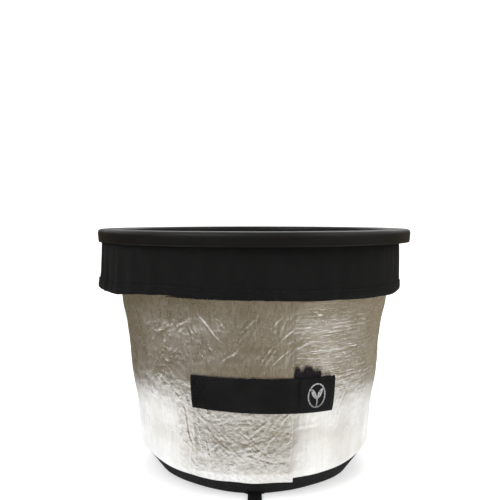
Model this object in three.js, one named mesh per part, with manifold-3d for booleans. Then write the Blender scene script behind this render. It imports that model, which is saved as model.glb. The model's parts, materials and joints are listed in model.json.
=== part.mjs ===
// Insulated fabric grow bag, about 11 litres, with a lift-out liner pot.
//
// A black fabric bag has a sloping base, a wall, and a top that turns out over the wall as a hanging cuff.
// A foam and foil wrap covers the wall. Its outer end overlaps at the front as a flap, held shut by a
// hook-and-loop strap. A plastic liner pot stands inside and its rolled rim covers the cuff's top fold.
//
// Millimetres, +Z up. The origin is the centre of the base's underside and the strap faces -Y.
// Angles round the bag are measured from the front, positive towards +X.

import * as THREE from 'three';
import { mergeVertices } from 'three/addons/utils/BufferGeometryUtils.js';
import Module from 'manifold-3d';

const wasm = await Module();
wasm.setup();

// ---- Driving dimensions ----

const HEIGHT = 227;           // over the liner's rim
const RIM_RADIUS = 150;
const SEGMENTS = 48;          // facets round every turned piece, so that nested walls stay parallel
const STEP_ANGLE = 2 * Math.PI / SEGMENTS;

const GROUND_RADIUS = 89;     // the bag's outline where it meets the ground
const CORNER_RADIUS = 111.5;  // where the sloping base becomes the wall
const CORNER_HEIGHT = 25;
const WALL_TAPER = 0.116;     // how much the radius grows for each millimetre up the wall

const FOIL = 1;               // thicknesses of the layers, from the outside in
const FOAM = 3.3;
const FELT = 2;
const PLASTIC = 2;
const GAP = 0.3;

const CUFF_HEM_Z = 176;
const WRAP_EDGE_Z = 13.8;
const WRAP_TOP_Z = 188;

const STRAP_WIDTH = 29;
const STRAP_Z = 93.5;
const STRAP_TILT = -0.03;     // the strap drops a little towards its free end
const STRAP_START = -0.437;   // its sewn end, as an angle round the bag
const STRAP_HINGE = -0.33;    // where the sewn part ends and the free part starts
const STRAP_END = 0.575;
const LABEL_MIDDLE = 0.422;
const LABEL_REACH = 0.12;

const FLAP_ROOT = -0.576;     // the seam that the flap turns on, as an angle
const FLAP_EDGE_X = 31;       // the flap's free edge hangs straight down at this place
const FLAP_TOP_Z = 173;

// ---- Materials ----

const materials = {
  foil: new THREE.MeshStandardMaterial({ color: 0xb9b3a6, roughness: 0.35, metalness: 0.9 }),
  foam: new THREE.MeshStandardMaterial({ color: 0xd9d9d4, roughness: 0.9, metalness: 0 }),
  felt: new THREE.MeshStandardMaterial({ color: 0x1a1a1c, roughness: 0.95, metalness: 0 }),
  cloth: new THREE.MeshStandardMaterial({ color: 0x1b1b1d, roughness: 0.85, metalness: 0 }),
  webbing: new THREE.MeshStandardMaterial({ color: 0x1a1c1d, roughness: 0.8, metalness: 0 }),
  loop: new THREE.MeshStandardMaterial({ color: 0x17151a, roughness: 1, metalness: 0 }),
  plastic: new THREE.MeshStandardMaterial({ color: 0x141416, roughness: 0.4, metalness: 0 }),
  print: new THREE.MeshStandardMaterial({ color: 0x9fa1a1, roughness: 0.6, metalness: 0 }),
  metal: new THREE.MeshStandardMaterial({ color: 0xa9a9aa, roughness: 0.3, metalness: 1 }),
  thread: new THREE.MeshStandardMaterial({ color: 0x202022, roughness: 0.8, metalness: 0 }),
};

// ---- Shape helpers ----

// The outer radius of the closed bag at a height: a sloping base, then the tapered wall.
function bodyRadius(z) {
  const baseSlope = (CORNER_RADIUS - GROUND_RADIUS) / CORNER_HEIGHT;
  return z < CORNER_HEIGHT
    ? GROUND_RADIUS + baseSlope * z
    : CORNER_RADIUS + WALL_TAPER * (z - CORNER_HEIGHT);
}

// A ring turned about Z from a closed [radius, height] outline, listed up its outside and down its inside.
function turned(outline, segments = SEGMENTS) {
  const loop = [...outline, outline[0]].map(([r, z]) => new THREE.Vector2(r, z));
  return new THREE.LatheGeometry(loop, segments).rotateX(Math.PI / 2);
}

// A solid of revolution whose outline starts and ends on the axis.
function turnedSolid(outline, segments = SEGMENTS) {
  const points = outline.map(([r, z]) => new THREE.Vector2(r, z));
  return new THREE.LatheGeometry(points, segments).rotateX(Math.PI / 2);
}

function disc(radius, low, high) {
  return turnedSolid([[0, low], [radius, low], [radius, high], [0, high]]);
}

// Moves every vertex of a geometry to change(x, y, z).
function reshaped(geometry, change) {
  const p = geometry.getAttribute('position');
  for (let i = 0; i < p.count; i++) {
    p.setXYZ(i, ...change(p.getX(i), p.getY(i), p.getZ(i)));
  }
  return geometry;
}

// A place on the bag: an angle from the front, a height, and how far it stands off the wall.
function onWall(angle, z, lift) {
  const r = bodyRadius(z) + lift;
  return [r * Math.sin(angle), -r * Math.cos(angle), z];
}

// Lays a flat geometry, drawn in X and Y with its thickness in Z, on the wall round one place.
function laidOnWall(geometry, angle, z, lift, tilt = 0) {
  const r = bodyRadius(z);
  return reshaped(geometry, (x, y, w) => {
    const across = x * Math.cos(tilt) - y * Math.sin(tilt);
    const up = x * Math.sin(tilt) + y * Math.cos(tilt);
    return onWall(angle + across / r, z + up, lift + w);
  });
}

// A flat rectangle of material, laid on the wall between two angles.
function patch({ from, to, z, height, lift, thickness, tilt = 0, tiltAbout = null }) {
  const r = bodyRadius(z);
  const middle = (from + to) / 2;
  const columns = Math.max(2, Math.ceil((to - from) / STEP_ANGLE * 1.5));
  const box = new THREE.BoxGeometry((to - from) * r, height, thickness, columns, 2, 1);
  box.translate(0, 0, thickness / 2);
  const drop = tiltAbout === null ? 0 : Math.tan(tilt) * (middle - tiltAbout) * r;
  return laidOnWall(box, middle, z + drop, lift, tilt);
}

// ---- Joining and cutting ----

function toManifold(geometry) {
  const bare = geometry.clone();
  bare.deleteAttribute('normal');
  bare.deleteAttribute('uv');
  const merged = mergeVertices(bare, 1e-4);
  return new wasm.Manifold(new wasm.Mesh({
    numProp: 3,
    vertProperties: merged.getAttribute('position').array,
    triVerts: new Uint32Array(merged.index.array),
  }));
}

function toGeometry(solid) {
  const mesh = solid.getMesh();
  const geometry = new THREE.BufferGeometry();
  geometry.setAttribute('position', new THREE.BufferAttribute(mesh.vertProperties, 3));
  geometry.setIndex(new THREE.BufferAttribute(mesh.triVerts, 1));
  geometry.computeVertexNormals();
  return geometry;
}

function joined(geometries) {
  const solids = geometries.map(toManifold);
  return toGeometry(solids.reduce((sum, solid) => sum.add(solid)));
}

// Cuts upright round holes through a geometry, at places given as [x, y].
function drilled(geometry, places, radius, low, high) {
  const holes = places.map(([x, y]) => {
    const drill = new THREE.CylinderGeometry(radius, radius, high - low, 16);
    drill.rotateX(Math.PI / 2).translate(x, y, (low + high) / 2);
    return toManifold(drill);
  });
  return toGeometry(holes.reduce((rest, hole) => rest.subtract(hole), toManifold(geometry)));
}

function ringOfPlaces(count, radius, start = 0) {
  return Array.from({ length: count }, (_, i) => {
    const angle = start + 2 * Math.PI * i / count;
    return [radius * Math.cos(angle), radius * Math.sin(angle)];
  });
}

// ---- The assembly ----

const growBag = new THREE.Group();
growBag.name = 'fabric_grow_bag';

function add(name, geometry, material) {
  const mesh = new THREE.Mesh(geometry, material);
  mesh.name = name;
  growBag.add(mesh);
  return mesh;
}

// Drain holes: the liner's holes stand over the eyelets in the bag's base.
const DRAIN_PLACES = ringOfPlaces(4, 48, Math.PI / 4);

// ---- Liner pot: a moulded pot with a wider band at its top, a rolled rim and a floor with drain holes ----

const LINER_INSET = FOIL + FOAM + FELT + 1.2;  // from the bag's outline to the pot's outside
const LINER_FLOOR_Z = 6.2;
const LINER_FLOOR = 2.5;
const LINER_FOOT_RADIUS = 87;
const DRAIN_RADIUS = 6;
const BAND_LOW_Z = 194;
const BAND_RADIUS = 130.5;
const BAND_TOP_RADIUS = 132.5;
const RIM_DEPTH = 12;

function linerWall() {
  const foot = bodyRadius(CORNER_HEIGHT) - LINER_INSET;
  const head = bodyRadius(WRAP_TOP_Z) - LINER_INSET;
  const flange = LINER_FOOT_RADIUS - 2.2;
  return turned([
    [flange, LINER_FLOOR_Z],
    [LINER_FOOT_RADIUS, LINER_FLOOR_Z],
    [foot, CORNER_HEIGHT],
    [head, WRAP_TOP_Z],
    [BAND_RADIUS, BAND_LOW_Z],
    [BAND_TOP_RADIUS, HEIGHT - RIM_DEPTH - GAP],
    [BAND_TOP_RADIUS - PLASTIC, HEIGHT - RIM_DEPTH - GAP],
    [BAND_RADIUS - PLASTIC, BAND_LOW_Z + 0.6],
    [head - PLASTIC, WRAP_TOP_Z + 0.6],
    [foot - PLASTIC, CORNER_HEIGHT + 1],
    [LINER_FOOT_RADIUS - 0.4, LINER_FLOOR_Z + LINER_FLOOR],
    [flange, LINER_FLOOR_Z + LINER_FLOOR],
  ]);
}

function linerRim() {
  const low = HEIGHT - RIM_DEPTH;
  const shelf = HEIGHT - 2.6;
  const roll = 1.6;
  return turned([
    [BAND_TOP_RADIUS - PLASTIC, low],
    [BAND_TOP_RADIUS, low],
    [BAND_TOP_RADIUS + 0.5, shelf],
    [RIM_RADIUS - 2.6, shelf],
    [RIM_RADIUS - 2.6, low],
    [RIM_RADIUS - 0.4, low],
    [RIM_RADIUS, HEIGHT - roll],
    [RIM_RADIUS - roll, HEIGHT],
    [BAND_TOP_RADIUS - 0.6, HEIGHT],
  ]);
}

const floorDisc = disc(LINER_FOOT_RADIUS - 2.2 - GAP, LINER_FLOOR_Z, LINER_FLOOR_Z + LINER_FLOOR);
add('liner_wall', linerWall(), materials.plastic);
add('liner_rim', linerRim(), materials.plastic);
add('liner_floor', drilled(floorDisc, DRAIN_PLACES, DRAIN_RADIUS, 0, 20), materials.plastic);

// ---- The black bag: base panel, stiffener, eyelets, sloping boot and wall ----

const PANEL_RADIUS = 85;
const EYELET_RADIUS = 6.2;
const STIFFENER_LOW_Z = 2.4;
const STIFFENER_HIGH_Z = 4.9;

function eyelet() {
  const bore = EYELET_RADIUS - 1.2;
  const flangeLow = STIFFENER_HIGH_Z + 0.2;
  return turned([
    [bore, 0.2],
    [EYELET_RADIUS, 0.2],
    [EYELET_RADIUS, flangeLow],
    [EYELET_RADIUS + 3.8, flangeLow],
    [EYELET_RADIUS + 3.4, flangeLow + 0.6],
    [bore, flangeLow + 0.6],
  ], 20);
}

const eyeletHole = EYELET_RADIUS + GAP;
add('base_panel', drilled(disc(PANEL_RADIUS, 0, FELT), DRAIN_PLACES, eyeletHole, -5, 15), materials.felt);
add('base_stiffener',
  drilled(disc(PANEL_RADIUS - 0.5, STIFFENER_LOW_Z, STIFFENER_HIGH_Z), DRAIN_PLACES, eyeletHole, -5, 15),
  materials.foam);
DRAIN_PLACES.forEach(([x, y], i) => {
  add(`drain_eyelet_${i + 1}`, eyelet(), materials.metal).position.set(x, y, 0);
});

const WALL_INSET = FOIL + FOAM + 2 * GAP;   // from the bag's outline to the felt wall's outside
const BOOT_TOP_Z = 45;

// The boot slopes out from the ground, tucks in under the foam and runs up behind it.
function boot() {
  const skin = FOIL + 0.4;
  const tuckZ = CORNER_HEIGHT + 3;
  const slopeInset = 4.2;
  return turned([
    [PANEL_RADIUS + GAP, 0.3],
    [bodyRadius(0.3) - skin, 0.3],
    [bodyRadius(CORNER_HEIGHT) - skin, CORNER_HEIGHT],
    [bodyRadius(CORNER_HEIGHT) - skin, tuckZ - 1],
    [bodyRadius(tuckZ) - WALL_INSET, tuckZ],
    [bodyRadius(BOOT_TOP_Z) - WALL_INSET, BOOT_TOP_Z],
    [bodyRadius(BOOT_TOP_Z) - WALL_INSET - FELT, BOOT_TOP_Z],
    [bodyRadius(tuckZ) - WALL_INSET - FELT, tuckZ - 1],
    [bodyRadius(CORNER_HEIGHT) - WALL_INSET - FELT, CORNER_HEIGHT - 1],
    [bodyRadius(2.3) - skin - slopeInset, 2.3],
  ]);
}

add('base_boot', boot(), materials.cloth);

const WALL_HEAD_Z = 216.5;

// The felt wall widens above the wrap, round the liner's band.
function bagWall() {
  const clear = 0.8;
  const low = BOOT_TOP_Z + GAP;
  const bend = WRAP_TOP_Z - 1;
  const inner = BAND_RADIUS + clear;
  const innerTop = BAND_TOP_RADIUS + clear;
  return turned([
    [bodyRadius(low) - WALL_INSET - FELT, low],
    [bodyRadius(low) - WALL_INSET, low],
    [bodyRadius(bend) - WALL_INSET, bend],
    [inner + FELT, BAND_LOW_Z],
    [innerTop + FELT, WALL_HEAD_Z],
    [innerTop, WALL_HEAD_Z],
    [inner, BAND_LOW_Z],
    [bodyRadius(bend) - WALL_INSET - FELT, bend],
  ]);
}

add('bag_wall', bagWall(), materials.felt);

// ---- Cuff: the bag's turned-down top, a hanging skirt that leans towards -X, with a bound hem ----

const CUFF_RADIUS = 142.8;
const CUFF_TOP_Z = 222;
const CUFF_LEAN = 6.2;        // how far the hem hangs off centre
const CUFF_LEAN_TOP = 2.5;

function leaning(geometry) {
  return reshaped(geometry, (x, y, z) => {
    const up = Math.max(0, Math.min(1, (z - CUFF_HEM_Z) / (CUFF_TOP_Z - CUFF_HEM_Z)));
    return [x - CUFF_LEAN + (CUFF_LEAN - CUFF_LEAN_TOP) * up, y, z];
  });
}

function cuffSkirt() {
  const low = CUFF_HEM_Z + 1.2;
  const shoulder = 213;
  return leaning(turned([
    [CUFF_RADIUS - FELT, low],
    [CUFF_RADIUS, low],
    [CUFF_RADIUS, shoulder],
    [CUFF_RADIUS - 0.6, CUFF_TOP_Z - 1.5],
    [CUFF_RADIUS - 2, CUFF_TOP_Z],
    [CUFF_RADIUS - 4.4, CUFF_TOP_Z],
    [CUFF_RADIUS - 4.4, CUFF_TOP_Z - 1.6],
    [CUFF_RADIUS - FELT - 0.4, CUFF_TOP_Z - 2],
    [CUFF_RADIUS - FELT, shoulder],
  ]));
}

// A binding folded round the hem, as a channel that opens upwards.
function cuffHem() {
  const high = CUFF_HEM_Z + 8;
  const floor = CUFF_HEM_Z + 0.8;
  const tape = 0.7;
  const outer = CUFF_RADIUS + 0.2;
  const inner = CUFF_RADIUS - FELT - 0.2;
  return leaning(turned([
    [inner - tape, CUFF_HEM_Z],
    [outer + tape, CUFF_HEM_Z],
    [outer + tape, high],
    [outer, high],
    [outer, floor],
    [inner, floor],
    [inner, high],
    [inner - tape, high],
  ]));
}

// The elastic cord inside the cuff's top fold.
function rimCord() {
  const radius = 1.4;
  const centre = [CUFF_RADIUS - 4.3, CUFF_TOP_Z - 3.6];
  const section = Array.from({ length: 6 }, (_, i) => {
    const turn = 2 * Math.PI * i / 6;
    return [centre[0] + radius * Math.cos(turn), centre[1] + radius * Math.sin(turn)];
  });
  return leaning(turned(section));
}

add('cuff_skirt', cuffSkirt(), materials.cloth);
add('cuff_hem', cuffHem(), materials.cloth);
add('rim_cord', rimCord(), materials.thread);

// ---- Wrap: the foil skin on its foam ----

function wallLayer(outerInset, innerInset, low, high) {
  const heights = low < CORNER_HEIGHT ? [low, CORNER_HEIGHT, high] : [low, high];
  return turned([
    ...heights.map((z) => [bodyRadius(z) - outerInset, z]),
    ...heights.toReversed().map((z) => [bodyRadius(z) - innerInset, z]),
  ]);
}

add('foil_shell', wallLayer(0, FOIL, WRAP_EDGE_Z, WRAP_TOP_Z), materials.foil);
add('foam_core',
  wallLayer(FOIL + GAP, FOIL + GAP + FOAM, CORNER_HEIGHT + 3.5, WRAP_TOP_Z - 1), materials.foam);

// ---- Flap: the wrap's outer end, from its seam to a free edge that hangs straight ----

const FLAP_THICKNESS = 1.2;

function flap() {
  const rows = [0, CORNER_HEIGHT, 62, 100, 137, FLAP_TOP_Z];
  const box = new THREE.BoxGeometry(1, rows.length - 1, 1, 12, rows.length - 1, 1);
  return reshaped(box, (x, y, w) => {
    const along = x + 0.5;
    const row = Math.round(y + (rows.length - 1) / 2);
    const lowEdge = WRAP_EDGE_Z - 2.6 * along;
    const z = row === 0 ? lowEdge : rows[row];
    const end = Math.asin(FLAP_EDGE_X / bodyRadius(z));
    const angle = FLAP_ROOT + (end - FLAP_ROOT) * along;
    return onWall(angle, z, GAP + (w + 0.5) * FLAP_THICKNESS);
  });
}

add('wrap_flap', flap(), materials.foil);

// ---- Closure strap: hook tape under its free end grips a loop patch beyond the flap's edge ----

const STRAP_LIFT = 2;
const STRAP_THICKNESS = 1.6;
const LABEL_LIFT = STRAP_LIFT + STRAP_THICKNESS + GAP;
const LABEL_THICKNESS = 0.8;
const EMBLEM_LIFT = LABEL_LIFT + LABEL_THICKNESS + GAP;

function strapPatch(from, to, lift, thickness, height = STRAP_WIDTH) {
  return patch({
    from, to, lift, thickness, height,
    z: STRAP_Z,
    tilt: STRAP_TILT,
    tiltAbout: 0,
  });
}

const splitGap = 0.004;       // between the strap's sewn and free parts, as an angle
add('strap_sewn_end',
  strapPatch(STRAP_START, STRAP_HINGE - splitGap, STRAP_LIFT, STRAP_THICKNESS), materials.webbing);
add('closure_strap', strapPatch(STRAP_HINGE, STRAP_END, STRAP_LIFT, STRAP_THICKNESS), materials.webbing);
add('hook_pad', strapPatch(0.29, 0.46, 1.2, 0.55, STRAP_WIDTH - 3), materials.loop);
const labelStart = LABEL_MIDDLE - LABEL_REACH;
const labelEnd = LABEL_MIDDLE + LABEL_REACH;
add('strap_label',
  strapPatch(labelStart, labelEnd, LABEL_LIFT, LABEL_THICKNESS, STRAP_WIDTH - 1), materials.webbing);
add('loop_patch', patch({ from: 0.272, to: 0.462, z: 101, height: 38, lift: GAP, thickness: 0.65 }),
  materials.loop);

// A box with a cross in it, sewn through the strap's end.
function anchorStitch() {
  const width = 9;
  const height = STRAP_WIDTH - 7;
  const line = 0.9;
  const thick = 0.4;
  const bar = (length, angle, x, y) => {
    const box = new THREE.BoxGeometry(length, line, thick, 1, 1, 1);
    return box.rotateZ(angle).translate(x, y, thick / 2);
  };
  const diagonal = Math.hypot(width, height);
  const lean = Math.atan2(height, width);
  const bars = [
    bar(width + line, 0, 0, height / 2),
    bar(width + line, 0, 0, -height / 2),
    bar(height + line, Math.PI / 2, width / 2, 0),
    bar(height + line, Math.PI / 2, -width / 2, 0),
    bar(diagonal, lean, 0, 0),
    bar(diagonal, -lean, 0, 0),
  ];
  const middle = (STRAP_START + STRAP_HINGE) / 2;
  const z = STRAP_Z + Math.tan(STRAP_TILT) * middle * bodyRadius(STRAP_Z);
  return laidOnWall(joined(bars), middle, z, LABEL_LIFT, STRAP_TILT);
}

add('anchor_stitch', anchorStitch(), materials.thread);

// A two-leaved sprout in an upright oval ring.
function emblem() {
  const across = 8;
  const radius = 10.2;
  const band = 1.2;
  const depth = 0.5;
  const options = { depth, bevelEnabled: false, curveSegments: 8 };
  const ringShape = new THREE.Shape().absellipse(0, 0, across, radius, 0, 2 * Math.PI);
  const hole = new THREE.Path().absellipse(0, 0, across - band, radius - band, 0, 2 * Math.PI, true);
  ringShape.holes.push(hole);
  const ring = new THREE.ExtrudeGeometry(ringShape, { ...options, curveSegments: 16 });
  const stem = new THREE.BoxGeometry(1.1, radius, depth).translate(0, -radius / 2 + 0.3, depth / 2);
  const leaf = (side) => {
    const shape = new THREE.Shape();
    shape.moveTo(0, -1.4);
    shape.bezierCurveTo(side * 1.2, 3.6, side * 3.4, 5.6, side * 5, 5.2);
    shape.bezierCurveTo(side * 5.2, 1.2, side * 3.2, -2, 0, -2.6);
    return new THREE.ExtrudeGeometry(shape, options);
  };
  const z = STRAP_Z + Math.tan(STRAP_TILT) * LABEL_MIDDLE * bodyRadius(STRAP_Z);
  return laidOnWall(joined([ring, stem, leaf(1), leaf(-1)]), LABEL_MIDDLE, z, EMBLEM_LIFT, STRAP_TILT);
}

add('label_emblem', emblem(), materials.print);

// ---- Base tab: a short webbing tab sewn into the front of the base, lying on the ground ----

const TAB_WIDTH = 11.5;
const TAB_ROOT_Y = -91;
const TAB_LENGTH = 30;
const TAB_THICKNESS = 2.4;

function baseTab() {
  const half = TAB_WIDTH / 2;
  const flare = 2.5;
  const shape = new THREE.Shape();
  shape.moveTo(-half - flare, 0);
  shape.absarc(-half - flare, -flare, flare, Math.PI / 2, 0, true);
  shape.lineTo(-half, -TAB_LENGTH + half / 2);
  shape.absarc(-half / 2, -TAB_LENGTH + half / 2, half / 2, Math.PI, 1.5 * Math.PI);
  shape.absarc(half / 2, -TAB_LENGTH + half / 2, half / 2, 1.5 * Math.PI, 2 * Math.PI);
  shape.lineTo(half, -flare);
  shape.absarc(half + flare, -flare, flare, Math.PI, Math.PI / 2, true);
  const options = { depth: TAB_THICKNESS, bevelEnabled: false, curveSegments: 5 };
  return new THREE.ExtrudeGeometry(shape, options).translate(0, TAB_ROOT_Y, 0.2);
}

add('base_tab', baseTab(), materials.webbing);

export default growBag;
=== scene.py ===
"""Looks for the fabric grow bag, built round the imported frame.

Shapes are worked out in millimetres, from angles round the bag (0 at its front, -Y) and heights above the
ground.
"""

import json
import math

import bpy
import numpy as np
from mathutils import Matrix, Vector
from mathutils.bvhtree import BVHTree


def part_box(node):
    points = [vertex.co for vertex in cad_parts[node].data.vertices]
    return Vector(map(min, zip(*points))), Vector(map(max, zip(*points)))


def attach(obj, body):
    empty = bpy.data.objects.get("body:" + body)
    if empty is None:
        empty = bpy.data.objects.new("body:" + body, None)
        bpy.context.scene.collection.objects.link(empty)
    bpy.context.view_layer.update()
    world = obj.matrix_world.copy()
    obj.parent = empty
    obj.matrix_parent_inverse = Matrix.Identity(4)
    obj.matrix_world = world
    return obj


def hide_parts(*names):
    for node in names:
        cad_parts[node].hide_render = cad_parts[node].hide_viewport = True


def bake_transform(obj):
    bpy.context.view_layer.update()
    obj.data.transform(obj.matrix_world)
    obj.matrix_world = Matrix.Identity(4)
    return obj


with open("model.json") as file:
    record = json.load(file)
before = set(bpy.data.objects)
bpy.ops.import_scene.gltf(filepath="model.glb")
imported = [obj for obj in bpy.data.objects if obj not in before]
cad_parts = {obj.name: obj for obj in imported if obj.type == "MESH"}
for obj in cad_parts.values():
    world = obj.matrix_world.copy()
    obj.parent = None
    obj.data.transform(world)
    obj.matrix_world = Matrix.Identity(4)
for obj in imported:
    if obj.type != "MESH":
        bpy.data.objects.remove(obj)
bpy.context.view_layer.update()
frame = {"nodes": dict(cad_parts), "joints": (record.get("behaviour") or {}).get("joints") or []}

MM = 0.001
TURN = 2 * math.pi


# ---- Camera ----

def add_camera():
    """The photographer stands 0.62 m away, a little above the rim, and looks slightly down."""
    data = bpy.data.cameras.new("camera")
    data.sensor_width = 36
    data.lens = 45.32
    camera = bpy.data.objects.new("camera", data)
    camera.location = (-4 * MM, -621.8 * MM, 238 * MM)
    camera.rotation_euler = (math.pi / 2 - 0.052, 0, 0)
    bpy.context.scene.collection.objects.link(camera)
    bpy.context.scene.camera = camera


add_camera()


# ---- Reading the frame ----

def node_points(node):
    """A CAD node's vertices, in millimetres."""
    return np.array([v.co for v in frame["nodes"][node].data.vertices]) / MM


def outline(node):
    """Heights and outer radii of a CAD node that is turned about the bag's axis, read along its front."""
    mesh = frame["nodes"][node].data
    tree = BVHTree.FromPolygons([v.co for v in mesh.vertices], [p.vertices for p in mesh.polygons])
    heights = np.unique(np.round(node_points(node)[:, 2], 2))
    rows = []
    for z in sorted(np.concatenate([heights - 0.02, heights + 0.02])):
        hit = tree.ray_cast(Vector((0.00001, -1, z * MM)), Vector((0, 1, 0)))[0]
        if hit is not None:
            rows.append((z, -hit.y / MM))
    kept = [row for i, row in enumerate(rows) if i == 0 or math.dist(row, rows[i - 1]) > 0.1]
    return np.array(kept).T


def angle_span(node):
    """The lowest and highest angle that a CAD node on the wall reaches."""
    points = node_points(node)
    angles = np.arctan2(points[:, 0], -points[:, 1])
    return angles.min(), angles.max()


def height_span(node):
    low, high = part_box(node)
    return low.z / MM, high.z / MM


def joint(name):
    return next(j for j in frame["joints"] if j["name"] == name)


def joint_angle(name):
    """The angle round the bag at which a joint's line stands."""
    x, y, _ = joint(name)["pos_m"]
    return math.atan2(x, -y)


WALL_Z, WALL_R = outline("foil_shell")
WRAP_LOW, WRAP_HIGH = height_span("foil_shell")
CORNER_Z = WALL_Z[1]
BASE_SLOPE = (WALL_R[1] - WALL_R[0]) / (WALL_Z[1] - WALL_Z[0])


def body_radius(z):
    """The outer radius of the closed bag: a sloping base below the corner, a tapered wall above it."""
    ground = WALL_R[0] - BASE_SLOPE * WALL_Z[0]
    return np.interp(z, np.append(0, WALL_Z), np.append(ground, WALL_R))


# ---- Repeatable noise ----

def lattice_noise(a, b, size_a, size_b, seed, span=None):
    """Smooth noise from -1 to 1 with cells of size_a by size_b. It repeats over span along a, if given."""
    rng = np.random.default_rng(seed)
    count_a = 4096 if span is None else max(2, int(round(span / size_a)))
    values = rng.uniform(-1, 1, (count_a, 512))
    pa = a / size_a if span is None else a / span * count_a
    pb = b / size_b + 64
    ia, ib = np.floor(pa).astype(int), np.floor(pb).astype(int)
    fa, fb = pa - ia, pb - ib
    fa, fb = fa * fa * (3 - 2 * fa), fb * fb * (3 - 2 * fb)
    value = lambda i, j: values[(ia + i) % count_a, (ib + j) % 512]
    low = value(0, 0) * (1 - fa) + value(1, 0) * fa
    high = value(0, 1) * (1 - fa) + value(1, 1) * fa
    return low * (1 - fb) + high * fb


def cell_edges(a, b, size, seed, span):
    """How far a point is from the edge of its cell, in a net of irregular cells; 0 on an edge."""
    rng = np.random.default_rng(seed)
    count = max(3, int(round(span / size)))
    jitter = rng.uniform(0.1, 0.9, (count, 256, 2))
    pa, pb = a / span * count, b / size + 64
    ia, ib = np.floor(pa).astype(int), np.floor(pb).astype(int)
    nearest = np.full(np.broadcast(a, b).shape, 9.0)
    second = nearest.copy()
    for i in (-1, 0, 1):
        for j in (-1, 0, 1):
            offset = jitter[(ia + i) % count, (ib + j) % 256]
            distance = np.hypot(ia + i + offset[..., 0] - pa, ib + j + offset[..., 1] - pb)
            second = np.minimum(second, np.maximum(nearest, distance))
            nearest = np.minimum(nearest, distance)
    return second - nearest


def smooth_steps(x, xs, ys):
    """A curve through points, level at each one."""
    xs, ys = np.asarray(xs, float), np.asarray(ys, float)
    i = np.clip(np.searchsorted(xs, x) - 1, 0, len(xs) - 2)
    t = np.clip((x - xs[i]) / (xs[i + 1] - xs[i]), 0, 1)
    return ys[i] + (ys[i + 1] - ys[i]) * t * t * (3 - 2 * t)


# ---- Meshes ----

def around(r, angle, z):
    """Points at a distance r from the bag's axis."""
    return np.stack(np.broadcast_arrays(r * np.sin(angle), -r * np.cos(angle), z), -1)


def ring_angles(columns):
    """Angles once round the bag: with the start repeated at the end, and as a column of points without it."""
    angles = np.linspace(-math.pi, math.pi, columns + 1)
    return angles, angles[:-1, None]


def ring_quads(columns, size):
    """Faces of a closed ring of points that are indexed [along, up]."""
    i, j = np.arange(columns)[:, None] * size, np.arange(size - 1)[None, :]
    after = np.roll(i, -1, axis=0)
    return np.stack(np.broadcast_arrays(i + j, i + j + 1, after + j + 1, after + j), -1).reshape(-1, 4)


def add_mesh(name, vertices, faces, uvs=None, face_materials=None):
    """A smooth-shaded mesh object from vertices in millimetres. uvs holds one pair for each face corner."""
    mesh = bpy.data.meshes.new(name)
    faces = faces if isinstance(faces, list) else faces.tolist()
    mesh.from_pydata((np.asarray(vertices) * MM).tolist(), [], faces)
    if uvs is not None:
        layer = mesh.uv_layers.new(name="UVMap")
        layer.data.foreach_set("uv", np.asarray(uvs, np.float32).ravel())
    if face_materials is not None:
        mesh.polygons.foreach_set("material_index", np.asarray(face_materials, np.int32))
    mesh.shade_smooth()
    mesh.update()
    piece = bpy.data.objects.new(name, mesh)
    bpy.context.scene.collection.objects.link(piece)
    return piece


def loft(name, sections, ring, u, v, inner_material=False):
    """A closed solid through sections, each a closed loop whose second half mirrors its first.

    ring joins the last section to the first; otherwise both ends are capped. u has a value for each section,
    and one more for a ring; v has a value for each point of a section's first half. Both are in millimetres.
    """
    count, size, _ = sections.shape
    half = size // 2
    spans = count if ring else count - 1
    i = np.arange(spans)[:, None]
    j = np.arange(size)[None, :]
    after_i, after_j = (i + 1) % count, (j + 1) % size
    corners = [i * size + j, after_i * size + j, after_i * size + after_j, i * size + after_j]
    faces = np.stack(np.broadcast_arrays(*corners), -1).reshape(-1, 4)
    loop_v = np.concatenate([v, v[::-1]])
    shape = (spans, size)
    corner_u = [np.broadcast_to(u[k], shape) for k in (i, i + 1, i + 1, i)]
    corner_v = [np.broadcast_to(loop_v[k], shape) for k in (j, j, after_j, after_j)]
    uv = np.stack([np.stack(corner_u, -1), np.stack(corner_v, -1)], -1).reshape(-1, 4, 2)
    inner = np.broadcast_to(j >= half - 1, shape).ravel()
    if not ring:
        k = np.arange(half - 1)
        start = np.stack([k, k + 1, size - 2 - k, size - 1 - k], -1)
        end = start[:, ::-1] + (count - 1) * size
        faces = np.concatenate([faces, start, end])
        caps = np.zeros((2 * (half - 1), 4, 2))
        caps[..., 0] = np.repeat([u[0], u[-1]], half - 1)[:, None]
        caps[..., 1] = np.tile(v[:-1], 2)[:, None]
        uv = np.concatenate([uv, caps])
        inner = np.concatenate([inner, np.zeros(2 * (half - 1), bool)])
    return add_mesh(name, sections.reshape(-1, 3), faces, uv * MM, inner if inner_material else None)


def layer(name, outer, inner, ring, u, v, inner_material=False):
    """A sheet between two grids of points, indexed [along, up], with its lower and upper edges rounded."""
    rim = 0.35

    def edge(row, neighbour):
        middle = (outer[:, row] + inner[:, row]) / 2
        away = outer[:, row] - outer[:, neighbour]
        away /= np.linalg.norm(away, axis=-1, keepdims=True)
        thickness = np.linalg.norm(outer[:, row] - inner[:, row], axis=-1, keepdims=True)
        return middle + away * thickness * rim

    low, high = edge(0, 1), edge(-1, -2)
    quarter = lambda side, middle: side * 0.6 + middle * 0.4
    sections = np.concatenate([
        quarter(outer[:, 0], low)[:, None], outer, quarter(outer[:, -1], high)[:, None],
        quarter(inner[:, -1], high)[:, None], inner[:, ::-1], quarter(inner[:, 0], low)[:, None],
    ], axis=1)
    v_all = np.concatenate([[v[0] - 0.4], v, [v[-1] + 0.4]])
    return loft(name, sections, ring, u, v_all, inner_material)


def on_wall(angle, z, lift):
    """Points at angles and heights on the bag, lifted off its plain outline."""
    return around(body_radius(z) + lift, angle, z)


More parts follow.
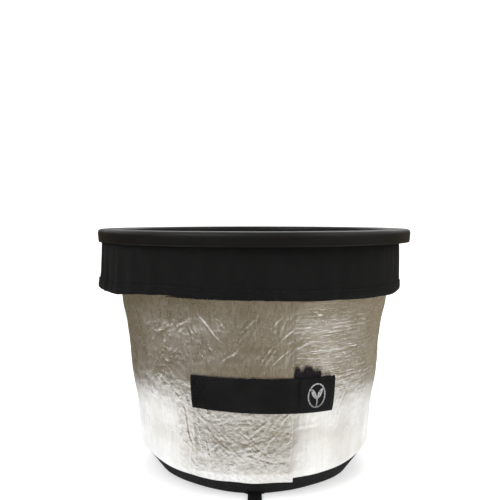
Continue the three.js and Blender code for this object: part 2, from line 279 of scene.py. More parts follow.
def turned(name, profile, segments, bulge=None):
    """A solid turned about the bag's axis from a closed profile of [radius, height].

    bulge(angle, z) moves points outwards.
    """
    profile = np.asarray(profile, float)
    angles, a = ring_angles(segments)
    r, z = profile[None, :, 0], profile[None, :, 1]
    if bulge is not None:
        r = r + bulge(a, np.broadcast_to(z, (segments, len(profile))))
    v = lengths_along(profile[:len(profile) // 2])
    return loft(name, around(r, a, z), True, angles * profile[:, 0].max(), v)


def arc(centre, radius, start, end, count):
    """Points on an arc of a profile; angles in degrees, 0 outwards and 90 up."""
    turns = np.radians(np.linspace(start, end, count))
    return [[centre[0] + radius * math.cos(t), centre[1] + radius * math.sin(t)] for t in turns]


def lengths_along(points):
    """How far along an outline each of its points is."""
    return np.concatenate([[0], np.cumsum(np.hypot(*np.diff(points, axis=0).T))])


def resampled(points, step):
    """The same outline with points about a step apart."""
    points = np.asarray(points, float)
    lengths = lengths_along(points)
    at = np.linspace(0, lengths[-1], max(2, int(lengths[-1] / step) + 1))
    return np.stack([np.interp(at, lengths, points[:, k]) for k in (0, 1)], -1)


def tubes(name, paths, radius, sides=6):
    """Many short tubes in one mesh. paths is [tube, point, 3]; the ends taper."""
    paths = np.asarray(paths, float)
    count, steps, _ = paths.shape
    along = np.gradient(paths, axis=1)
    along /= np.linalg.norm(along, axis=-1, keepdims=True)
    up = np.where(np.abs(along[..., 2:]) > 0.8, [[[1.0, 0, 0]]], [[[0, 0, 1.0]]])
    side = np.cross(along, up)
    side /= np.linalg.norm(side, axis=-1, keepdims=True)
    up = np.cross(side, along)
    t = np.linspace(-1, 1, steps)
    taper = np.sqrt(np.clip(1.02 - t ** 2, 0.02, 1))[None, :, None, None] * radius
    turns = np.linspace(0, TURN, sides, endpoint=False)[None, None, :, None]
    rings = paths[:, :, None] + taper * (np.cos(turns) * side[:, :, None] + np.sin(turns) * up[:, :, None])
    n = np.arange(count)[:, None, None] * steps * sides
    i = np.arange(steps - 1)[None, :, None] * sides
    j = np.arange(sides)[None, None, :]
    low, after = n + i, (j + 1) % sides
    corners = [low + j, low + after, low + sides + after, low + sides + j]
    quads = np.stack(np.broadcast_arrays(*corners), -1)
    caps_low = (n[:, 0] + np.arange(sides)[::-1]).reshape(count, sides)
    caps_high = (n[:, 0] + (steps - 1) * sides + np.arange(sides)).reshape(count, sides)
    faces = quads.reshape(-1, 4).tolist() + caps_low.tolist() + caps_high.tolist()
    return add_mesh(name, rings.reshape(-1, 3), faces)


def shift(piece, x, y):
    """Moves a piece's points sideways, in millimetres."""
    for vertex in piece.data.vertices:
        vertex.co.x += x * MM
        vertex.co.y += y * MM


# ---- Materials ----

class Shader:
    """A material under construction. A node's input is a number or another node's output."""

    def __init__(self, name):
        self.material = bpy.data.materials.new(name)
        self.material.use_nodes = True
        self.tree = self.material.node_tree
        self.tree.nodes.clear()
        self.output = self.tree.nodes.new("ShaderNodeOutputMaterial")
        self.uv = self.tree.nodes.new("ShaderNodeUVMap").outputs["UV"]
        self.position = self.tree.nodes.new("ShaderNodeTexCoord").outputs["Object"]

    def add(self, kind, output, inputs, **settings):
        node = self.tree.nodes.new("ShaderNode" + kind)
        for key, value in settings.items():
            setattr(node, key, value)
        for key, value in inputs.items():
            self.feed(node.inputs[key], value)
        return node.outputs[output]

    def feed(self, socket, value):
        if isinstance(value, bpy.types.NodeSocket):
            self.tree.links.new(value, socket)
        else:
            socket.default_value = value

    def math(self, operation, a, b=0.0):
        return self.add("Math", 0, {0: a, 1: b}, operation=operation)

    def times(self, a, b):
        return self.math("MULTIPLY", a, b)

    def total(self, *terms):
        """The sum of (value, weight) pairs."""
        result = None
        for value, weight in terms:
            term = value if weight == 1 else self.times(value, weight)
            result = term if result is None else self.math("ADD", result, term)
        return result

    def axes(self, vector):
        """A vector's three parts."""
        return self.add("SeparateXYZ", 0, {0: vector}).node.outputs

    def noise(self, scale, detail, vector=None, roughness=0.55):
        return self.add("TexNoise", "Fac", {
            "Vector": vector or self.position, "Scale": scale, "Detail": detail, "Roughness": roughness,
        })

    def scaled(self, vector, x, y, z=1.0):
        return self.add("Mapping", 0, {"Vector": vector, "Scale": (x, y, z)})

    def remap(self, value, low, high, new_low=0.0, new_high=1.0):
        return self.add("MapRange", 0, {
            "Value": value, "From Min": low, "From Max": high, "To Min": new_low, "To Max": new_high,
        })

    def mix(self, factor, a, b):
        return self.add("Mix", 2, {0: factor, 6: a, 7: b}, data_type="RGBA")

    def bump(self, height, distance, strength):
        return self.add("Bump", 0, {"Height": height, "Distance": distance, "Strength": strength})

    def finish(self, **inputs):
        node = self.tree.nodes.new("ShaderNodeBsdfPrincipled")
        for key, value in inputs.items():
            self.feed(node.inputs[key.replace("_", " ")], value)
        self.tree.links.new(node.outputs[0], self.output.inputs[0])
        return self.material


def grey(value, warmth=0.0):
    return (value * (1 + warmth), value, value * (1 - warmth), 1)


def foil_material(name, low_scale, high_scale, right_scale, low_depth):
    """Metallised film on scrim: a fine crumple with drawn wrinkles, a few dull, warm patches, and painted
    shade in upright bands and in the relief's hollows.

    Each scale gives the wrinkles' counts per metre, along and up: low on the wall, high on it, and high at
    the right.
    low_depth is how deep the relief is low on the wall, against 1 high on it; it also weakens the painted
    shade in the relief's hollows there.
    """
    s = Shader(name)
    wander = s.add("TexNoise", "Color", {"Vector": s.uv, "Scale": 90.0, "Detail": 2.0})
    shifted = s.add("VectorMath", 0, {0: wander, 1: (0.0016, 0.0016, 0)}, operation="MULTIPLY")
    warped = s.add("VectorMath", 0, {0: s.uv, 1: shifted}, operation="ADD")
    x, _, z = s.axes(s.position)
    high = s.remap(z, 0.082, 0.11)
    right = s.remap(x, 0.018, 0.05)
    drawn = [s.noise(1.0, 2.5, s.scaled(warped, *scale)) for scale in (low_scale, high_scale, right_scale)]
    upper = s.add("Mix", 0, {0: right, 2: drawn[1], 3: drawn[2]})
    wrinkles = s.add("Mix", 0, {0: high, 2: drawn[0], 3: upper})
    crumple = s.noise(210.0, 2.5, warped)
    folds = s.noise(75.0, 2.0, warped, 0.5)
    height = s.total((wrinkles, 2.0), (crumple, 1.4), (folds, 1.6))
    above_low = lambda low: s.remap(z, 0.06, 0.11, low, 1.0)
    height = s.times(height, above_low(low_depth))
    stain = s.remap(s.noise(14.0, 4.0), 0.35, 0.7)
    colour = s.mix(stain, (0.97, 0.945, 0.9, 1), (0.86, 0.81, 0.72, 1))
    # painted shade: the film's colour is darkened in upright bands placed at random
    painted_band_shade = s.remap(s.noise(1.0, 2.0, s.scaled(s.uv, 26.0, 3.0)), 0.4, 0.62, 0.34, 0.0)
    colour = s.mix(painted_band_shade, colour, (0.55, 0.52, 0.46, 1))
    # painted shade: the colour darkens in the hollows of the wrinkles and crumple, more strongly high on the
    # wall
    grain = s.remap(s.total((wrinkles, 1), (crumple, 0.6)), 0.62, 0.9, 0.5, 0.0)
    grain = s.times(grain, above_low(min(1.0, low_depth * 1.4)))
    colour = s.mix(grain, colour, (0.56, 0.49, 0.38, 1))
    return s.finish(
        Base_Color=colour, Metallic=0.95,
        Roughness=s.remap(s.noise(60.0, 4.0), 0.3, 0.7, 0.22, 0.38),
        Normal=s.bump(height, 0.0005, 0.75),
    )


def lining_material():
    """The wrap's inner side: pale non-woven scrim."""
    s = Shader("wrap_lining")
    fibres = s.noise(900.0, 4.0, s.scaled(s.uv, 1.0, 0.35))
    colour = s.mix(fibres, (0.62, 0.61, 0.58, 1), (0.8, 0.79, 0.77, 1))
    return s.finish(Base_Color=colour, Roughness=0.9, Normal=s.bump(fibres, 0.0003, 0.5))


def woven_material(name, colour, pitch, roughness, sheen, bump=0.0002):
    """A plain weave: threads that pass over and under each other, with uneven dye."""
    s = Shader(name)
    wave = lambda axis: s.math("SINE", s.times(s.axes(s.uv)[axis], TURN / (2 * pitch * MM)))
    over = s.times(wave(0), wave(1))
    fuzz = s.noise(2200.0, 2.0, s.uv)
    blotch = s.remap(s.noise(26.0, 4.0), 0.3, 0.7)
    height = s.total((over, 0.5), (fuzz, 1))
    thread = s.mix(s.remap(over, -1.0, 1.0), grey(colour * 0.7), grey(colour * 1.5))
    tint = s.mix(s.times(blotch, 0.35), thread, grey(colour * 2.0))
    return s.finish(
        Base_Color=tint, Roughness=roughness, Sheen_Weight=sheen, Sheen_Roughness=0.5,
        Specular_IOR_Level=0.09, Normal=s.bump(height, bump, 0.7),
    )


def ribbed_material(name, colour, pitch, cross_pitch):
    """Webbing: close ribs across its width, crossed by fine lengthwise threads."""
    s = Shader(name)
    along, across, _ = s.axes(s.uv)
    sine = lambda value, period: s.math("SINE", s.times(value, TURN / (period * MM)))
    ribs = sine(s.total((along, 1), (sine(across, cross_pitch * 2), pitch * MM / 3)), pitch)
    height = s.total((ribs, 0.5), (sine(across, cross_pitch), 0.3), (s.noise(1500.0, 2.0, s.uv), 1))
    wear = s.remap(s.noise(55.0, 5.0), 0.45, 0.75)
    tone = s.mix(s.remap(ribs, -1.0, 1.0), grey(colour * 0.6), grey(colour * 1.5))
    tone = s.mix(s.times(wear, 0.3), tone, grey(colour * 3.0))
    return s.finish(
        Base_Color=tone, Roughness=0.75, Sheen_Weight=0.01, Sheen_Roughness=0.4, Specular_IOR_Level=0.11,
        Normal=s.bump(height, 0.00025, 0.6),
    )


def felt_material(name, colour):
    """Needled felt: matted fibres with pinholes."""
    s = Shader(name)
    fibres = s.noise(700.0, 6.0, roughness=0.7)
    pins = s.add("TexVoronoi", "Distance", {"Vector": s.position, "Scale": 420.0})
    height = s.total((fibres, 1), (s.remap(pins, 0.0, 0.35), 0.4))
    colours = s.mix(s.remap(fibres, 0.3, 0.7), grey(colour * 0.6), grey(colour * 1.7))
    return s.finish(
        Base_Color=colours, Roughness=0.95, Sheen_Weight=0.25, Sheen_Roughness=0.6, Specular_IOR_Level=0.2,
        Normal=s.bump(height, 0.0005, 0.8),
    )


def plastic_material():
    """Satin moulded plastic with a fine grain, faint flow lines and patches of dust."""
    s = Shader("liner_plastic")
    grain = s.noise(1400.0, 3.0)
    flow = s.noise(1.0, 3.0, s.scaled(s.position, 30.0, 30.0, 240.0))
    height = s.total((grain, 0.6), (flow, 0.5))
    dust = s.remap(s.noise(45.0, 5.0), 0.5, 0.8)
    colour = s.mix(s.times(dust, 0.25), grey(0.004), grey(0.014, 0.05))
    return s.finish(
        Base_Color=colour, Roughness=s.remap(flow, 0.3, 0.7, 0.4, 0.52), Specular_IOR_Level=0.22,
        Normal=s.bump(height, 0.00012, 0.5),
    )


def foam_material(name):
    """Fine closed-cell foam."""
    s = Shader(name)
    cells = s.add("TexVoronoi", "Distance", {"Vector": s.position, "Scale": 1100.0})
    tone = s.mix(s.remap(cells, 0.0, 0.7), (0.72, 0.72, 0.70, 1), (0.88, 0.88, 0.86, 1))
    return s.finish(Base_Color=tone, Roughness=0.9, Normal=s.bump(cells, 0.0004, 0.7))


def metal_material():
    """Plated eyelets with brushed rings and dull spots."""
    s = Shader("eyelet_metal")
    scratches = s.noise(1.0, 4.0, s.scaled(s.position, 900.0, 900.0, 2500.0))
    dull = s.remap(s.noise(160.0, 4.0), 0.4, 0.7)
    colour = s.mix(dull, (0.72, 0.71, 0.69, 1), (0.5, 0.48, 0.45, 1))
    return s.finish(
        Base_Color=colour, Metallic=1.0, Roughness=s.remap(dull, 0.0, 1.0, 0.22, 0.45),
        Normal=s.bump(scratches, 0.0001, 0.4),
    )


def thread_material(name, colour):
    """Twisted thread."""
    s = Shader(name)
    twist = s.noise(1.0, 2.0, s.scaled(s.position, 2600.0, 2600.0, 1600.0))
    tone = s.mix(twist, grey(colour * 0.6), grey(colour * 1.5))
    return s.finish(Base_Color=tone, Roughness=0.75, Sheen_Weight=0.04, Specular_IOR_Level=0.2,
                    Normal=s.bump(twist, 0.0002, 0.7))


def print_material():
    """Screen-printed ink, worn through in specks and thinner towards the bottom of the mark."""
    s = Shader("print")
    specks = s.remap(s.noise(900.0, 5.0, roughness=0.7), 0.42, 0.6)
    low, high = height_span("label_emblem")
    fade = s.remap(s.axes(s.position)[2], low * MM, (low + (high - low) * 0.6) * MM, 0.3, 1.0)
    ink = s.mix(s.times(specks, fade), grey(0.06), grey(0.5))
    return s.finish(Base_Color=ink, Roughness=0.6, Normal=s.bump(specks, 0.00008, 0.5))


def hook_material():
    """Stiff nylon hooks in rows."""
    s = Shader("hook_tape")
    hooks = s.add("TexVoronoi", "Distance", {"Vector": s.uv, "Scale": 900.0, "Randomness": 0.35})
    tone = s.mix(s.remap(hooks, 0.0, 0.5), grey(0.05), grey(0.01))
    return s.finish(Base_Color=tone, Roughness=0.5, Normal=s.bump(hooks, 0.0006, 1.0))


def nap_material():
    """Brushed loops: very dark, with a faint plum cast."""
    s = Shader("loop_tape")
    curls = s.noise(1500.0, 5.0, s.uv, 0.7)
    tone = s.mix(s.remap(curls, 0.35, 0.65), (0.007, 0.005, 0.0075, 1), (0.022, 0.016, 0.021, 1))
    return s.finish(
        Base_Color=tone, Roughness=0.95, Sheen_Weight=0.05, Sheen_Roughness=0.5, Specular_IOR_Level=0.1,
        Normal=s.bump(curls, 0.0006, 0.9),
    )


FOIL = foil_material("foil", (330.0, 60.0), (230.0, 170.0), (50.0, 460.0), 0.22)
FLAP_FOIL = foil_material("flap_foil", (300.0, 240.0), (520.0, 120.0), (430.0, 130.0), 0.85)
LINING = lining_material()
CUFF_CLOTH = woven_material("cuff_cloth", 0.0042, 0.55, roughness=0.85, sheen=0.01)
KNIT = woven_material("knit_cloth", 0.006, 0.8, roughness=0.9, sheen=0.03, bump=0.0003)
LABEL_CLOTH = woven_material("label_cloth", 0.0045, 0.3, roughness=0.55, sheen=0.02, bump=0.0001)
WEBBING = ribbed_material("webbing", 0.0045, 1.1, 0.7)
FELT = felt_material("felt", 0.009)
PLASTIC = plastic_material()
FOAM = foam_material("foam")
BOARD = foam_material("stiffener_board")
METAL = metal_material()
THREAD = thread_material("thread", 0.0032)
ELASTIC = thread_material("elastic", 0.02)
PRINT = print_material()
HOOKS = hook_material()
NAP = nap_material()


def dress(piece, material, body, replaces=()):
    """Gives a piece its material and its place in the frame. A piece that blends has no body of its own."""
    for m in material if isinstance(material, tuple) else (material,):
        piece.data.materials.append(m)
    if body is not None:
        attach(piece, body)
    if replaces:
        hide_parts(*replaces)
    return piece


# ---- The wrap's own shape: where it sags, swells and creases ----

ALONG = 120                                 # millimetres along the wall for each radian, for patterns on it
WALL_SPAN = TURN * ALONG                    # and once round the bag
SAG_Z = [14, 25, 40, 62, 90, 100, 121, 138, 160, 176, 188]
SAG = [0.0, -0.3, -0.8, -1.7, -0.4, -0.4, -1.4, -1.1, 0.8, 0.9, 0.4]

FLAP_ROOT = joint_angle("flap_open")
FLAP_LOW, FLAP_HIGH = height_span("wrap_flap")
FLAP_EDGE_X = node_points("wrap_flap")[:, 0].max()
STRAP_LOW, STRAP_HIGH = height_span("closure_strap")
STRAP_START, STRAP_SPLIT = angle_span("strap_sewn_end")
STRAP_END = angle_span("closure_strap")[1] - 0.01

# Each crease: its two ends, as degrees round the bag and a height; then its depth and half-width.
CREASES = [
    (-21.9, 163, -10.8, 136, -0.34, 0.8),
    (-17.5, 164, -8.0, 146, -0.2, 0.7),
    (2.8, 165, -2.2, 136, -0.26, 0.75),
    (-24.0, 72, -9.5, 44, 0.2, 0.6),
    (-6.5, 43, 14.0, 33, 0.19, 0.6),
    (-16.1, 63, -2.0, 35, 0.2, 0.6),
    (-7.3, 62, 5.8, 42, 0.2, 0.6),
    (-22.0, 60, -17.0, 30, 0.2, 0.7),
    (2.4, 69, 1.7, 30, -0.18, 0.7),
    (44.1, 128, 42.1, 98, 0.4, 0.9),
    (42.1, 98, 35.5, 60, 0.36, 0.9),
    (-34.5, 128, -32.6, 100, 0.3, 0.9),
    (-30.4, 84, -27.2, 48, 0.42, 0.9),
    (36.6, 118, 37.6, 86, 0.25, 0.9),
    (-41.0, 120, -30.0, 104, 0.25, 1.0),
    (-12.0, 150, -16.5, 122, -0.18, 0.8),
    (7.0, 62, 12.0, 46, 0.22, 0.8),
]


def crease_depth(angle, z, creases):
    """The sum of straight creases, each a groove with a raised lip beside it."""
    s = angle * ALONG
    total = np.zeros(np.broadcast(angle, z).shape)
    for a0, z0, a1, z1, depth, width in creases:
        s0, s1 = math.radians(a0) * ALONG, math.radians(a1) * ALONG
        length = math.hypot(s1 - s0, z1 - z0)
        ts, tz = (s1 - s0) / length, (z1 - z0) / length
        along = (s - s0) * ts + (z - z0) * tz
        across = (s - s0) * tz - (z - z0) * ts + 0.9 * np.sin(along / 5.5)
        ends = np.clip(along / 8, 0, 1) * np.clip((length - along) / 8, 0, 1)
        groove = np.exp(-(across / width) ** 2) - 0.7 * np.exp(-((across - 1.9 * width) / (1.3 * width)) ** 2)
        total -= depth * groove * ends
    return total


def random_creases(count, seed, degrees, heights, spread, depths=(-0.24, 0.22)):
    """Small creases within a range of angles and heights; spread is how far they lean, in radians."""
    rng = np.random.default_rng(seed)
    rows = []
    for _ in range(count):
        a, z = rng.uniform(*degrees), rng.uniform(*heights)
        lean, length = rng.normal(0.2, spread), rng.uniform(8, 30)
        rows.append((a, z, a + math.degrees(length * math.sin(lean) / ALONG), z + length * math.cos(lean),
                     rng.uniform(*depths), rng.uniform(0.7, 1.2)))
    return rows


SMALL_CREASES = random_creases(160, 5, (-180, 180), (18, 184), 0.9)
SMALL_CREASES += random_creases(70, 8, (-26, 16), (110, 168), 0.4)
SMALL_CREASES += random_creases(60, 9, (-24, 15), (22, 76), 0.8)
SMALL_CREASES += random_creases(26, 14, (-25, 14), (114, 160), 0.5, (-0.33, -0.2))
SMALL_CREASES += random_creases(22, 15, (-52, -27), (96, 160), 0.6, (-0.4, 0.3))


def swell(angle, z):
    """The broad shape of the wrap, which everything on it follows."""
    s = angle * ALONG
    waves = 0.45 * lattice_noise(s, z, 58, 46, 11, WALL_SPAN)
    waves = waves + 0.25 * lattice_noise(s, z, 24, 34, 12, WALL_SPAN)
    under_strap = np.exp(-((z - 94) / 16) ** 2) * np.exp(-((angle - 0.07) / 0.6) ** 2)
    return smooth_steps(z, SAG_Z, SAG) + waves * (1 - 0.6 * under_strap)


def crinkle(angle, z, seed):
    """The foil's fine relief."""
    s = angle * ALONG
    noise = lambda size_a, size_b, k: lattice_noise(s, z, size_a, size_b, seed + k, WALL_SPAN)
    relief = -0.24 * np.abs(noise(15, 17, 1)) - 0.16 * np.abs(noise(8, 9, 2)) + 0.08 * noise(5, 6, 3)
    relief += 0.10 * np.clip(cell_edges(s, z, 9, seed, WALL_SPAN) * 2.0, 0, 1)
    relief += 0.09 * noise(3.2, 24, 4) + 0.04 * noise(2.4, 2.8, 5)
    low_side = np.clip((np.abs(angle + 0.06) - 0.35) / 0.15, 0, 1) * np.clip((100 - z) / 30, 0, 1)
    return relief * (1 - 0.78 * low_side) + crease_depth(angle, z, CREASES + SMALL_CREASES)


def flap_edge_angle(z):
    """The flap's free edge hangs straight down, so its angle grows as the bag narrows."""
    return np.arcsin(FLAP_EDGE_X / (body_radius(z) + 1.5)) + 0.004 * np.sin(z / 9)


# ---- Foil shell, foam core and flap ----

def foil_shell():
    """The wrap's skin. Its lower edge rises beside the flap and at both sides, where the boot shows more."""
    angles, a = ring_angles(640)
    low = WRAP_LOW + 2.4 + 0.4 * lattice_noise(a * ALONG, 0 * a, 30, 30, 21, WALL_SPAN)
    low = low + 1.8 * np.exp(-((a - 0.5) / 0.28) ** 4) + 4.6 * np.exp(-((np.abs(a + 0.03) - 1.35) / 0.5) ** 4)
    t = np.linspace(0, 1, 148)[None, :]
    z = low + (WRAP_HIGH - low) * t
    under_flap = (a > FLAP_ROOT) & (a < flap_edge_angle(z) + 0.01) & (z < FLAP_HIGH + 1)
    fine = crinkle(a, z, 31) * (1 - 0.8 * under_flap) - 0.25 * under_flap
    broad = swell(a, z)
    outer = on_wall(a, z, broad + np.clip(fine, -1.2, 0.7))
    inner = on_wall(a, z, broad - 1.6)
    piece = layer("foil_shell", outer, inner, True, angles * ALONG, t[0] * (WRAP_HIGH - WRAP_LOW), True)
    dress(piece, (FOIL, LINING), "bag", ["foil_shell"])


def foam_core():
    low, high = height_span("foam_core")
    angles, a = ring_angles(180)
    z = np.linspace(low, high, 40)[None, :]
    broad = swell(a, z)
    outer = on_wall(a, z, broad - 1.8)
    inner = on_wall(a, z, np.minimum(broad, 0) * 0.4 - 4.3)
    piece = layer("foam_core", outer, inner, True, angles * 117, z[0] - low)
    dress(piece, FOAM, "bag", ["foam_core"])


def wrap_flap():
    """The flap bends at its root, so it starts a little before the hinge line and blends across it."""
    t = np.linspace(0, 1, 150)[:, None]
    v = np.linspace(0, 1, 190)[None, :]
    low = FLAP_LOW + 2.4 + 3.0 * (1 - t)
    z = low + (FLAP_HIGH - low) * v
    z = z + (0.5 * np.sin(t * 17) * (1 - v)) * (t > 0.05)
    start = FLAP_ROOT - 0.0275
    a = start + (flap_edge_angle(z) - start) * t
    settle = np.clip(t / 0.13, 0, 1) ** 0.8
    broad = swell(a, z)
    lift_edge = 0.5 * np.exp(-((1 - t) / 0.05) ** 2) * (0.6 + 0.4 * np.sin(z / 14))
    fine = np.clip(crinkle(a, z, 31), -0.75, 0.8)
    inner = on_wall(a, z, broad - 0.65 + 1.1 * settle + lift_edge)
    outer = on_wall(a, z, broad - 0.15 + 1.65 * settle + lift_edge + fine * (0.4 + 0.6 * settle))
    u = (start + (flap_edge_angle(95.0) - FLAP_ROOT) * t[:, 0]) * ALONG
    piece = layer("wrap_flap", outer, inner, False, u, v[0] * (FLAP_HIGH - FLAP_LOW), True)
    dress(piece, (FLAP_FOIL, LINING), None, ["wrap_flap"])
    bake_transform(piece)


foil_shell()
foam_core()
wrap_flap()


# ---- Closure strap and what is on it ----

STRAP_MIDDLE = (STRAP_LOW + STRAP_HIGH) / 2
STRAP_RADIUS = float(body_radius(STRAP_MIDDLE))
STRAP_HEIGHT = 93.6                         # of its middle line, at the bag's front
STRAP_TILT = -0.03                          # it drops a little towards its free end
STRAP_WIDTH = 29.0


def strap_height(angle, across):
    """The height of a point on the strap: across runs from -1 at its lower edge to 1 at its upper edge.

    Its sewn end is drawn in a little by its stitches.
    """
    width = STRAP_WIDTH * (0.985 + 0.055 * np.clip((angle + 0.2) / 0.6, -1, 1))
    return STRAP_HEIGHT + STRAP_TILT * angle * STRAP_RADIUS + across * width / 2


def strap_place(angle, across, lift):
    """A point on the strap's own surface, which follows the wrap's broad swell."""
    z = strap_height(angle, across)
    return on_wall(angle, z, swell(angle, z) + 0.3 + lift)


def strap_lift(angle, across):
    """The strap's outer face: it sits flatter over the flap's edge and curls a little at its free end."""
    ripple = 0.22 * lattice_noise(angle * ALONG, across * 14, 26, 12, 41)
    curl = 0.4 * np.exp(-((STRAP_END - angle) / 0.05) ** 2)
    return 3.5 + ripple + curl - 0.25 * across ** 4


def closure_strap():
    angles = np.linspace(STRAP_START, STRAP_END, 96)
    a = angles[:, None]
    across = np.sin(np.linspace(-math.pi / 2, math.pi / 2, 22))[None, :]
    top = strap_lift(a, across)
    press = 0.45 * np.exp(-((a - (STRAP_START + STRAP_SPLIT) / 2) / 0.05) ** 2)
    edge = 0.35 * across ** 8
    outer = strap_place(a, across, top - press - edge)
    inner = strap_place(a, across, top - 1.5 + edge)
    piece = layer("closure_strap", outer, inner, False, angles * ALONG, across[0] * STRAP_WIDTH / 2)
    dress(piece, WEBBING, None, ["closure_strap", "strap_sewn_end"])
    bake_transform(piece)


def strap_patch(name, node, lift_low, lift_high, half, material, body):
    """A flat patch on the strap or under it, over the same stretch as its CAD node."""
    angles = np.linspace(*angle_span(node), 30)
    a = angles[:, None]
    across = np.linspace(-half, half, 24)[None, :]
    bottom = strap_place(a, across, lift_low(a, across))
    top = strap_place(a, across, lift_high(a, across))
    piece = layer(name, top, bottom, False, angles * ALONG, across[0] * STRAP_WIDTH / 2)
    return dress(piece, material, body, [node])


def stitch_paths(start, end, bow):
    """A short stitch between two places, bowed outwards. Places are rows of x, y, z."""
    t = np.linspace(0, 1, 5)[None, :, None]
    line = start[:, None] * (1 - t) + end[:, None] * t
    out = line * [1, 1, 0]
    out /= np.linalg.norm(out, axis=-1, keepdims=True)
    return line + out * (np.sin(t * math.pi) * bow)


def strap_seam(corners, lift, stitch=2.4, gap=0.9):
    """Stitches along straight lines on the strap, between corners given as [angle, across]."""
    starts, ends = [], []
    for (a0, c0), (a1, c1) in zip(corners[:-1], corners[1:]):
        length = math.hypot((a1 - a0) * ALONG, (c1 - c0) * STRAP_WIDTH / 2)
        count = max(1, int(round(length / (stitch + gap))))
        for i in range(count):
            for t, rows in (((i + 0.12) / count, starts), ((i + 0.88) / count, ends)):
                a, c = a0 + (a1 - a0) * t, c0 + (c1 - c0) * t
                rows.append(strap_place(a, c, strap_lift(a, c) + lift))
    return stitch_paths(np.array(starts), np.array(ends), 0.25)


def anchor_stitch():
    inset = 0.018
    left, right = STRAP_START + inset, STRAP_SPLIT - inset
    box = [(left, -0.78), (right, -0.78), (right, 0.78), (left, 0.78), (left, -0.78), (right, 0.78)]
    cross = [(left, 0.78), (right, -0.78)]
    paths = np.concatenate([strap_seam(box, -0.15), strap_seam(cross, -0.1)])
    dress(tubes("anchor_stitch", paths, 0.34), THREAD, "flap", ["anchor_stitch"])


def label():
    rise = lambda a, c: strap_lift(a, c) + 0.08
    top = lambda a, c: strap_lift(a, c) + 0.75
    strap_patch("strap_label", "strap_label", rise, top, 0.95, LABEL_CLOTH, "strap")
    start, end = angle_span("strap_label")
    inset = 0.016
    border = [(start + inset, -0.84), (end - inset, -0.84), (end - inset, 0.84), (start + inset, 0.84),
              (start + inset, -0.84)]
    seam = tubes("label_stitch", strap_seam(border, 0.78, 1.5, 0.7), 0.2, 5)
    dress(seam, THREAD, "strap")


def hook_pad():
    low = lambda a, c: 1.15
    high = lambda a, c: strap_lift(a, c) - 1.6
    strap_patch("hook_pad", "hook_pad", low, high, 0.88, HOOKS, "strap")


def emblem_outlines():
    """An upright oval ring and a two-leaved sprout, as outlines round the mark's middle, in millimetres."""
    turns = np.linspace(0, TURN, 73)[:-1]
    band = 1.15
    oval = lambda inset: np.stack([(8.0 - inset) * np.cos(turns), (10.2 - inset) * np.sin(turns)], -1)
    t = np.linspace(0, 1, 15)[:, None]
    bezier = lambda p: ((1 - t) ** 3 * p[0] + 3 * (1 - t) ** 2 * t * p[1] + 3 * (1 - t) * t ** 2 * p[2]
                        + t ** 3 * p[3])
    leaves = []
    for side in (1, -1):
        upper = bezier(np.array([[0, -1.2], [side * 1.2, 3.6], [side * 3.4, 5.9], [side * 5.2, 5.5]]))
        lower = bezier(np.array([[0, -2.8], [side * 3.3, -2.2], [side * 5.3, 1.2], [side * 5.2, 5.5]]))
        leaves.append((upper, lower))
    stem_y = np.linspace(-9.2, -1.6, 10)
    bend = 0.5 * np.sin((stem_y + 9.2) / 3)
    stem = (np.stack([bend - 0.55, stem_y], -1), np.stack([bend + 0.55, stem_y], -1))
    return [(oval(0), oval(band))], leaves + [stem]


def label_emblem():
    start, end = angle_span("label_emblem")
    middle = (start + end) / 2
    faces, points = [], []

    def place(flat, lift):
        a = middle + flat[:, 0] / STRAP_RADIUS
        c = flat[:, 1] / (STRAP_WIDTH / 2)
        return strap_place(a, c, strap_lift(a, c) + lift)

    rings, strips = emblem_outlines()
    base = 0
    for closed, shapes in ((True, rings), (False, strips)):
        for outer, inner in shapes:
            n = len(outer)
            block = [place(outer, 0.74), place(outer, 0.98), place(inner, 0.98), place(inner, 0.74)]
            points.append(np.stack(block, 1).reshape(-1, 3))
            spans = n if closed else n - 1
            for i in range(spans):
                k = (i + 1) % n
                for j in range(4):
                    m = (j + 1) % 4
                    faces.append([base + 4 * i + j, base + 4 * k + j, base + 4 * k + m, base + 4 * i + m])
            if not closed:
                faces.append([base + j for j in (3, 2, 1, 0)])
                faces.append([base + 4 * (n - 1) + j for j in range(4)])
            base += 4 * n
    piece = add_mesh("label_emblem", np.concatenate(points), faces)
    dress(piece, PRINT, "strap", ["label_emblem"])


closure_strap()
anchor_stitch()
label()
hook_pad()
label_emblem()


# ---- Loop patch on the wrap, with its brushed nap ----

